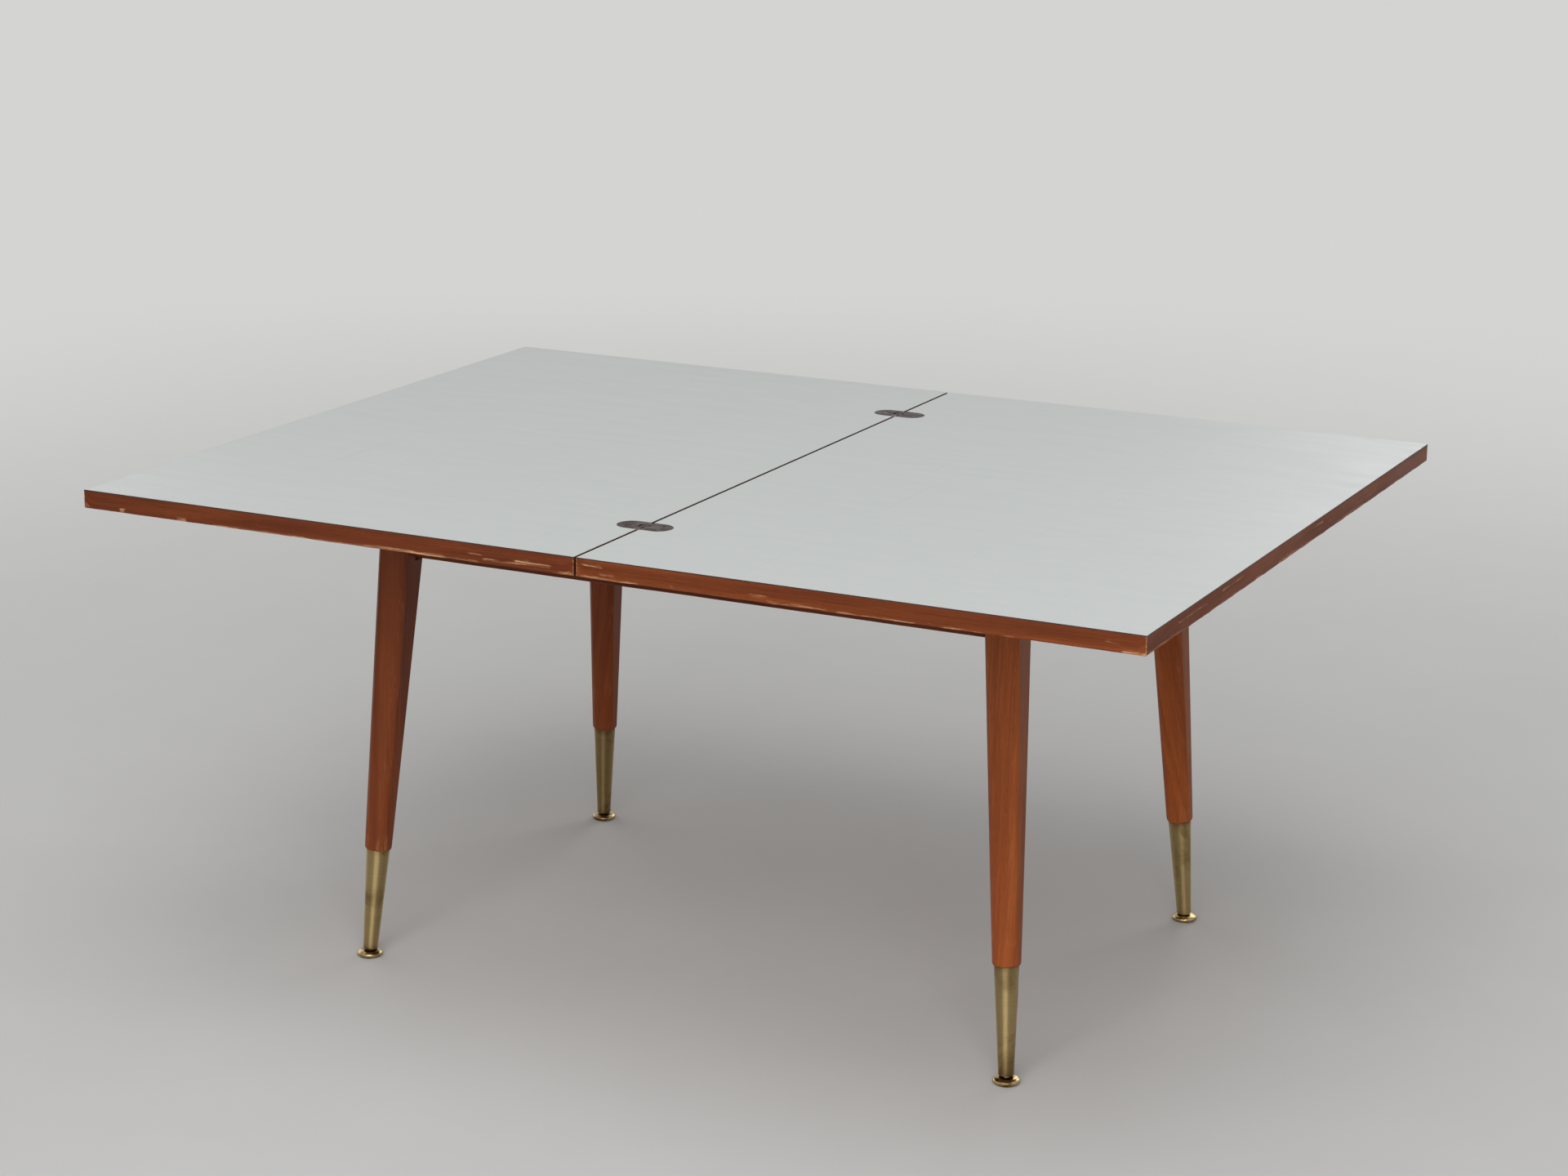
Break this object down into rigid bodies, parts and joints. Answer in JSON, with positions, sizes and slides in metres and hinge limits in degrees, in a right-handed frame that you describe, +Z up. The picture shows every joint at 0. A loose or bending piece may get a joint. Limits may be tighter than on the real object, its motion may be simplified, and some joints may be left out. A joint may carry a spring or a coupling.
{
  "type": "convertible coffee table",
  "caption": "Coffee table whose white laminate top turns on an offset pivot and folds in half on flush hinges, above a low rail frame and splayed tapered legs with brass ferrules.",
  "frame": {"origin": "on the floor, under the middle of the open top", "axes": "+X along the long side of the open top, across the seam; +Y along the seam to the back; +Z up"},
  "size_m": [1.2, 0.92, 0.561],
  "materials": {
    "laminate": "satin",
    "core_board": "matt",
    "underside_veneer": "satin",
    "lipping_wood": "satin, scuffed",
    "leg_wood": "satin",
    "rail_wood": "satin",
    "inner_wood": "bare",
    "hinge_bronze": "dark, tarnished",
    "hinge_screw_bronze": "dark, tarnished",
    "pin_steel": "polished",
    "swivel_steel": "plated",
    "screw_steel": "plated",
    "bush_nylon": "moulded",
    "pad_felt": "pressed felt",
    "ferrule_brass": "aged, satin",
    "glide_brass": "aged, polished dome"
  },
  "bodies": {
    "base": {"pivot_bush": "bush_nylon", "pivot_board": "inner_wood", "stop_pin": "swivel_steel", "board_cleat_front": "inner_wood", "board_cleat_back": "inner_wood", "cleat_screws": "screw_steel", "board_screws": "screw_steel", "rail_front": "rail_wood", "rail_back": "rail_wood", "rail_left": "rail_wood", "rail_right": "rail_wood", "corner_block_front_left": "inner_wood", "corner_block_front_right": "inner_wood", "corner_block_back_left": "inner_wood", "corner_block_back_right": "inner_wood", "block_screws": "screw_steel", "leg_bolts": "screw_steel", "slide_pads": "pad_felt", "leg_front_left": "leg_wood", "leg_front_right": "leg_wood", "leg_back_left": "leg_wood", "leg_back_right": "leg_wood", "ferrule_front_left": "ferrule_brass", "ferrule_front_right": "ferrule_brass", "ferrule_back_left": "ferrule_brass", "ferrule_back_right": "ferrule_brass"},
    "turning_leaf": {"fixed_core": "core_board", "fixed_laminate": "laminate", "fixed_veneer": "underside_veneer", "fixed_lipping_front": "lipping_wood", "fixed_lipping_back": "lipping_wood", "fixed_lipping_outer": "lipping_wood", "fixed_lipping_seam": "lipping_wood", "hinge_plate_front_fixed": "hinge_bronze", "hinge_plate_back_fixed": "hinge_bronze", "hinge_pins_fixed": "pin_steel", "hinge_screws_fixed": "hinge_screw_bronze", "swivel_plate": "swivel_steel", "swivel_screws": "screw_steel", "pivot_washer": "swivel_steel", "pivot_nut": "swivel_steel"},
    "hinge_links": {"hinge_link_front": "hinge_bronze", "hinge_link_back": "hinge_bronze"},
    "folding_leaf": {"folding_core": "core_board", "folding_laminate": "laminate", "folding_veneer": "underside_veneer", "folding_lipping_front": "lipping_wood", "folding_lipping_back": "lipping_wood", "folding_lipping_outer": "lipping_wood", "folding_lipping_seam": "lipping_wood", "hinge_plate_front_folding": "hinge_bronze", "hinge_plate_back_folding": "hinge_bronze", "hinge_pins_folding": "pin_steel", "hinge_screws_folding": "hinge_screw_bronze"},
    "glide_front_left": {"glide_front_left": "glide_brass"},
    "glide_front_right": {"glide_front_right": "glide_brass"},
    "glide_back_left": {"glide_back_left": "glide_brass"},
    "glide_back_right": {"glide_back_right": "glide_brass"}
  },
  "joints": [
    {"name": "top_swivel", "type": "hinge", "parent": "base", "child": "turning_leaf", "pos_m": [0.14037, -0.14037, 0.541], "axis": [0, 0, 1], "range_deg": [0, 90]},
    {"name": "leaf_fold", "type": "hinge", "parent": "turning_leaf", "child": "folding_leaf", "pos_m": [0, 0, 0.5613], "axis": [0, 1, 0], "range_deg": [0, 180]},
    {"name": "link_fold", "type": "hinge", "parent": "turning_leaf", "child": "hinge_links", "pos_m": [0.0026, 0, 0.5587], "axis": [0, 1, 0], "range_deg": [0, 90]},
    {"name": "glide_screw_front_left", "type": "slide", "parent": "base", "child": "glide_front_left", "axis": [-0.0591, -0.0818, -0.9949], "range_m": [0, 0.006]},
    {"name": "glide_screw_front_right", "type": "slide", "parent": "base", "child": "glide_front_right", "axis": [0.0591, -0.0818, -0.9949], "range_m": [0, 0.006]},
    {"name": "glide_screw_back_left", "type": "slide", "parent": "base", "child": "glide_back_left", "axis": [-0.0591, 0.0818, -0.9949], "range_m": [0, 0.006]},
    {"name": "glide_screw_back_right", "type": "slide", "parent": "base", "child": "glide_back_right", "axis": [0.0591, 0.0818, -0.9949], "range_m": [0, 0.006]}
  ],
  "couplings": [
    {"joint": "link_fold", "follows": "leaf_fold", "ratio": 0.5}
  ]
}
